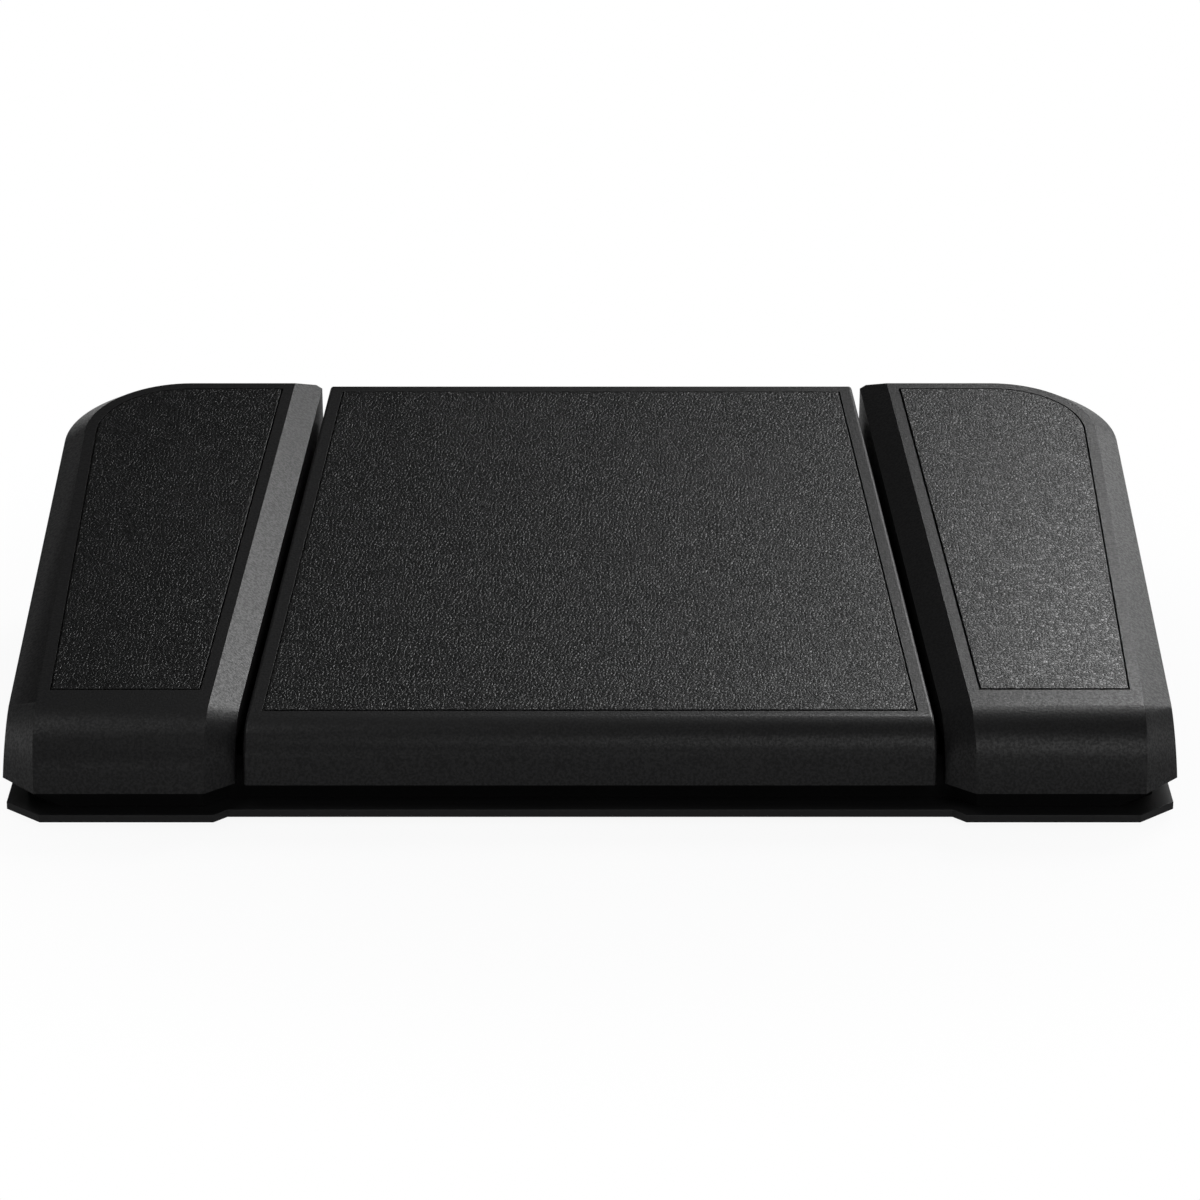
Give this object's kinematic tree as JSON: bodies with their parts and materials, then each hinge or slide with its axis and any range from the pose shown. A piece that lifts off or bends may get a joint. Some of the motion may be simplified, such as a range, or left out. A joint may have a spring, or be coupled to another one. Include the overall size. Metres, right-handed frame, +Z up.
{
  "type": "usb foot pedal switch",
  "caption": "Low wedge-shaped foot switch with hinged pedals side by side, textured pads let into bevelled covers, on a steel plate.",
  "frame": {"origin": "centre of the object's base, on the surface that it stands on", "axes": "+X to the user's right, +Y away from the user, towards the hinges and the USB inlet, +Z up"},
  "size_m": [0.233, 0.149, 0.0489],
  "materials": {
    "cover": "fine satin moulding",
    "pad": "leather-like embossed grain",
    "tray": "matt moulding",
    "frame": "glass-filled moulding",
    "plate": "black powder coat",
    "rubber": "matt",
    "steel": "ground",
    "spring_steel": "drawn wire",
    "screw": "black oxide",
    "board": "solder mask",
    "switch": "moulded",
    "plunger": "moulded",
    "inlet": "drawn sleeve",
    "chip": "epoxy"
  },
  "bodies": {
    "root": {"base_plate": "plate", "rubber_feet": "rubber", "base_screws": "screw", "base_tray": "tray", "rubber_bumpers": "rubber", "usb_port_block": "tray", "usb_inlet": "inlet", "circuit_board": "board", "board_screws": "steel", "controller_chip": "chip", "right_hinge_pin": "steel", "left_hinge_pin": "steel", "centre_hinge_pin": "steel", "left_switch_body": "switch", "centre_switch_body": "switch", "right_switch_body": "switch", "left_spring": "spring_steel", "centre_spring_left": "spring_steel", "centre_spring_right": "spring_steel", "right_spring": "spring_steel"},
    "left_pedal": {"left_pedal_cover": "cover", "left_pad": "pad", "left_pedal_frame": "frame", "left_frame_screws": "screw"},
    "left_plunger": {"left_switch_plunger": "plunger"},
    "centre_pedal": {"centre_pedal_cover": "cover", "centre_pad": "pad", "centre_pedal_frame": "frame", "centre_frame_screws": "screw"},
    "centre_plunger": {"centre_switch_plunger": "plunger"},
    "right_pedal": {"right_pedal_cover": "cover", "right_pad": "pad", "right_pedal_frame": "frame", "right_frame_screws": "screw"},
    "right_plunger": {"right_switch_plunger": "plunger"}
  },
  "joints": [
    {"name": "left_pedal_press", "type": "hinge", "parent": "root", "child": "left_pedal", "pos_m": [0, 0.0555, 0.014], "axis": [1, 0, 0], "range_deg": [0, 1.6], "stiffness_Nm_per_rad": 30, "springref_deg": -3.44, "deforming": ["left_spring"]},
    {"name": "centre_pedal_press", "type": "hinge", "parent": "root", "child": "centre_pedal", "pos_m": [0, 0.0555, 0.014], "axis": [1, 0, 0], "range_deg": [0, 1.6], "stiffness_Nm_per_rad": 60, "springref_deg": -3.44, "deforming": ["centre_spring_left", "centre_spring_right"]},
    {"name": "right_pedal_press", "type": "hinge", "parent": "root", "child": "right_pedal", "pos_m": [0, 0.0555, 0.014], "axis": [1, 0, 0], "range_deg": [0, 1.6], "stiffness_Nm_per_rad": 30, "springref_deg": -3.44, "deforming": ["right_spring"]},
    {"name": "left_plunger_travel", "type": "slide", "parent": "root", "child": "left_plunger", "axis": [0, 0, -1], "range_m": [0, 0.00101]},
    {"name": "centre_plunger_travel", "type": "slide", "parent": "root", "child": "centre_plunger", "axis": [0, 0, -1], "range_m": [0, 0.00101]},
    {"name": "right_plunger_travel", "type": "slide", "parent": "root", "child": "right_plunger", "axis": [0, 0, -1], "range_m": [0, 0.00101]}
  ],
  "couplings": [
    {"joint": "left_plunger_travel", "follows": "left_pedal_press", "m_per_rad": 0.035502},
    {"joint": "centre_plunger_travel", "follows": "centre_pedal_press", "m_per_rad": 0.035502},
    {"joint": "right_plunger_travel", "follows": "right_pedal_press", "m_per_rad": 0.035502}
  ]
}
